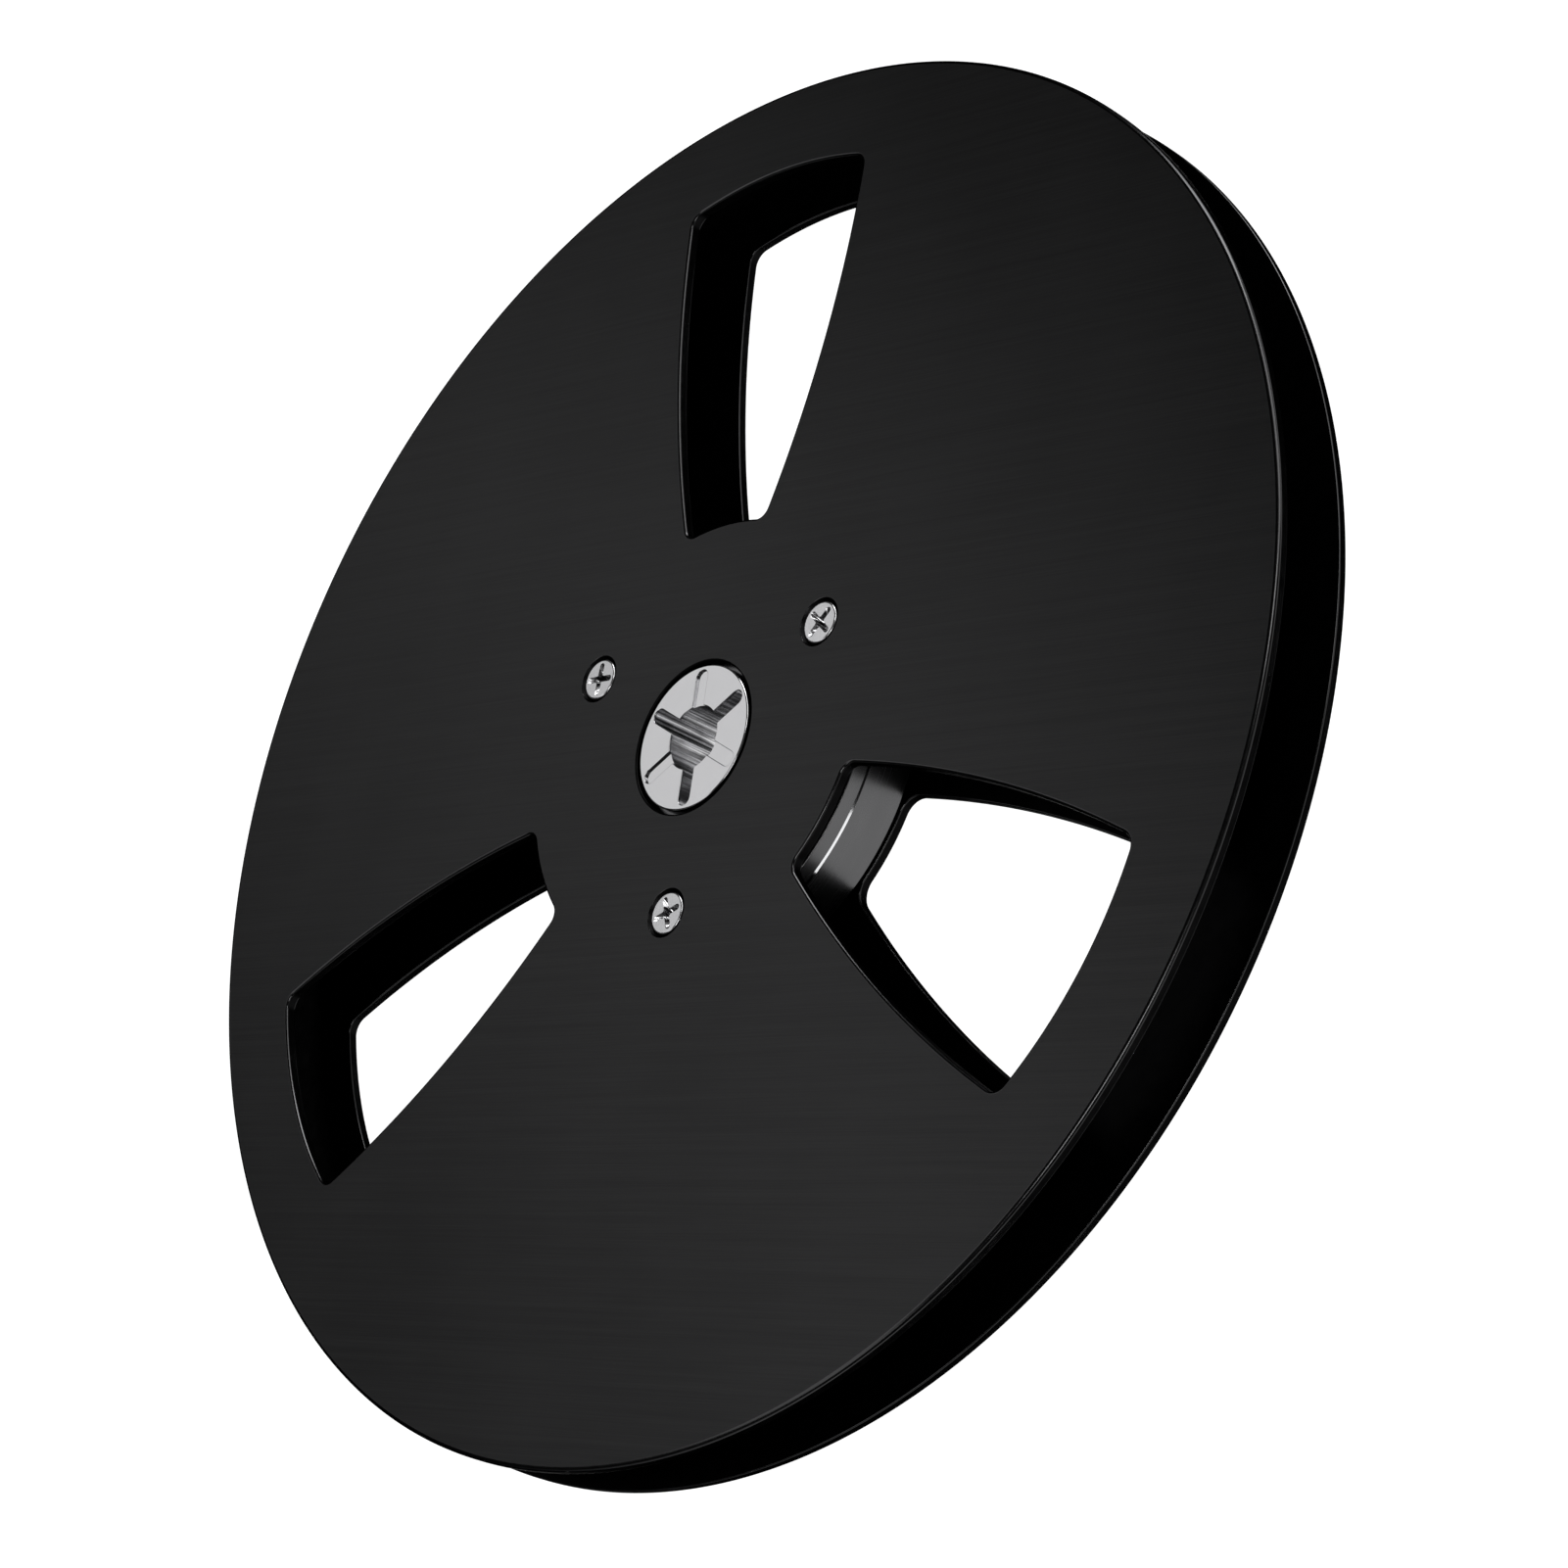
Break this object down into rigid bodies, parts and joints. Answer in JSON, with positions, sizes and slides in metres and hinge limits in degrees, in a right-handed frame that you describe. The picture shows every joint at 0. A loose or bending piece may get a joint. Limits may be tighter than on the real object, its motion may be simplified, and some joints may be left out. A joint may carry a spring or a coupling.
{
  "type": "open-reel tape reel",
  "caption": "Black metal take-up reel for quarter-inch magnetic tape: windowed flanges screwed to a hub drum around a plated core slotted for a splined spindle.",
  "frame": {"origin": "centre of the rear flange's outer face, on the spindle axis", "axes": "+Z along the spindle axis, out of the front face; +X through one screw and its spoke, with the windows at 60, 180 and 300 degrees"},
  "size_m": [0.178, 0.178, 0.0116],
  "materials": {
    "anodised_flange": "black anodised over a fine straight brushed grain, edges broken and glossy",
    "anodised_hub": "turned and black anodised, satin",
    "plated_core": "bright plated, ends ground flat",
    "plated_screw": "bright zinc or nickel plated steel"
  },
  "bodies": {
    "root": {"front_flange": "anodised_flange", "rear_flange": "anodised_flange", "hub_drum": "anodised_hub", "spindle_core": "plated_core", "front_screw_1": "plated_screw", "rear_screw_1": "plated_screw", "front_screw_2": "plated_screw", "rear_screw_2": "plated_screw", "front_screw_3": "plated_screw", "rear_screw_3": "plated_screw"}
  },
  "joints": []
}
